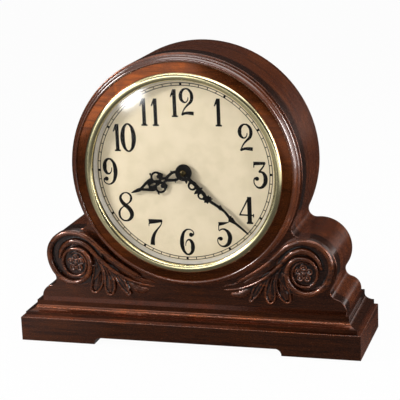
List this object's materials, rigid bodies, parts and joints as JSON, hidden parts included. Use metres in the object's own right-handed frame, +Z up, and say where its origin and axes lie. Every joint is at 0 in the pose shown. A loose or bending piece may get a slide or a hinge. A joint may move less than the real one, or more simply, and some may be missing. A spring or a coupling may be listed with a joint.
{
  "type": "mantel clock",
  "caption": "Round-drum wooden mantel clock on a moulded plinth, with carved scrolls, a brass bezel under convex glass, numbered dial, pierced hands and a hinged back door.",
  "frame": {"origin": "middle of the clock's box, on the table", "axes": "+Z up, the dial facing -Y, +X to the right of someone who reads the dial"},
  "size_m": [0.324, 0.102, 0.2737],
  "materials": {
    "cherry_wood": "gloss lacquer over dark reddish cherry",
    "carved_wood": "gloss lacquer, darker in the hollows",
    "pine": "plain sawn pine",
    "back_board": "satin stained board",
    "felt": "green felt",
    "polished_brass": "polished and lacquered",
    "clock_glass": "clear convex glass",
    "rubber": "matt black",
    "silvered_ring": "satin silver",
    "dial_cream": "printed parchment cream",
    "hand_black": "satin black",
    "steel": "bright zinc",
    "black_plastic": "fine moulded texture",
    "pale_plastic": "smooth moulding",
    "copper_wire": "enamelled wire",
    "board_green": "solder mask",
    "cell_wrap": "plain printed sleeve",
    "magnet": "sintered ferrite",
    "cone_paper": "pressed paper"
  },
  "bodies": {
    "case": {"plinth_front": "cherry_wood", "plinth_left": "cherry_wood", "plinth_right": "cherry_wood", "plinth_back": "cherry_wood", "moulded_board": "cherry_wood", "case_front": "cherry_wood", "case_wrap": "cherry_wood", "drum_ring": "cherry_wood", "scroll_left": "carved_wood", "scroll_right": "carved_wood", "glue_blocks": "pine", "back_panel": "back_board", "felt_feet": "felt", "bezel": "polished_brass", "hinge_panel_leaves": "polished_brass", "hinge_pins": "polished_brass", "back_panel_screws": "polished_brass", "bush_nut": "polished_brass", "lens": "clock_glass", "lens_gasket": "rubber", "rubber_washer": "rubber", "reflector_ring": "silvered_ring", "dial_plate": "dial_cream", "base_screws": "steel", "movement_screws": "steel", "battery_contacts": "steel", "stator": "steel", "speaker_frame": "steel", "movement_front": "black_plastic", "movement_rear": "black_plastic", "board_chips": "black_plastic", "speaker_lead": "black_plastic", "train_plate": "pale_plastic", "train_bridge": "pale_plastic", "coil": "copper_wire", "circuit_board": "board_green", "batteries": "cell_wrap", "catch_magnet": "magnet", "speaker_magnet": "magnet", "speaker_cone": "cone_paper"},
    "minute_hand": {"minute_hand": "hand_black", "hand_nut": "polished_brass", "minute_arbor": "steel"},
    "hour_hand": {"hour_hand": "hand_black", "hour_wheel": "pale_plastic"},
    "setting_knob": {"minute_wheel": "pale_plastic", "setting_knob": "black_plastic"},
    "rotor": {"rotor": "pale_plastic"},
    "intermediate_wheel": {"intermediate_wheel": "pale_plastic"},
    "fourth_wheel": {"fourth_wheel": "pale_plastic"},
    "third_wheel": {"third_wheel": "pale_plastic"},
    "centre_wheel": {"centre_wheel": "pale_plastic"},
    "volume_slider": {"volume_slider": "pale_plastic"},
    "chime_selector": {"chime_selector": "pale_plastic"},
    "night_switch": {"night_switch": "pale_plastic"},
    "back_door": {"back_door": "back_board", "hinge_door_leaves": "polished_brass", "hinge_door_screws": "polished_brass", "door_knob": "polished_brass", "catch_plate": "steel"}
  },
  "joints": [
    {"name": "minute_hand_turn", "type": "hinge", "parent": "case", "child": "minute_hand", "pos_m": [0, 0, 0.165], "axis": [0, 1, 0], "continuous": true},
    {"name": "hour_hand_turn", "type": "hinge", "parent": "case", "child": "hour_hand", "pos_m": [0, 0, 0.165], "axis": [0, 1, 0], "continuous": true},
    {"name": "setting_knob_turn", "type": "hinge", "parent": "case", "child": "setting_knob", "pos_m": [0.0144, 0, 0.165], "axis": [0, 1, 0], "continuous": true},
    {"name": "rotor_turn", "type": "hinge", "parent": "case", "child": "rotor", "pos_m": [0.00616, 0, 0.18306], "axis": [0, 1, 0], "continuous": true},
    {"name": "intermediate_wheel_turn", "type": "hinge", "parent": "case", "child": "intermediate_wheel", "pos_m": [-0.00245, 0, 0.18458], "axis": [0, 1, 0], "continuous": true},
    {"name": "fourth_wheel_turn", "type": "hinge", "parent": "case", "child": "fourth_wheel", "pos_m": [-0.01091, 0, 0.1815], "axis": [0, 1, 0], "continuous": true},
    {"name": "third_wheel_turn", "type": "hinge", "parent": "case", "child": "third_wheel", "pos_m": [-0.01091, 0, 0.1713], "axis": [0, 1, 0], "continuous": true},
    {"name": "centre_wheel_turn", "type": "hinge", "parent": "case", "child": "centre_wheel", "pos_m": [0, 0, 0.165], "axis": [0, 1, 0], "continuous": true},
    {"name": "volume_slider_slide", "type": "slide", "parent": "case", "child": "volume_slider", "axis": [1, 0, 0], "range_m": [-0.003, 0.003]},
    {"name": "chime_selector_slide", "type": "slide", "parent": "case", "child": "chime_selector", "axis": [1, 0, 0], "range_m": [-0.003, 0.003]},
    {"name": "night_switch_slide", "type": "slide", "parent": "case", "child": "night_switch", "axis": [1, 0, 0], "range_m": [-0.003, 0.003]},
    {"name": "back_door_swing", "type": "hinge", "parent": "case", "child": "back_door", "pos_m": [0.06025, 0.04416, 0.167], "axis": [0, 0, -1], "range_deg": [0, 110]}
  ],
  "couplings": [
    {"joint": "hour_hand_turn", "follows": "minute_hand_turn", "ratio": 0.083333},
    {"joint": "setting_knob_turn", "follows": "minute_hand_turn", "ratio": -0.33333},
    {"joint": "rotor_turn", "follows": "intermediate_wheel_turn", "ratio": -6},
    {"joint": "fourth_wheel_turn", "follows": "intermediate_wheel_turn", "ratio": -0.2},
    {"joint": "third_wheel_turn", "follows": "intermediate_wheel_turn", "ratio": 0.026667},
    {"joint": "centre_wheel_turn", "follows": "intermediate_wheel_turn", "ratio": -0.0033333}
  ]
}
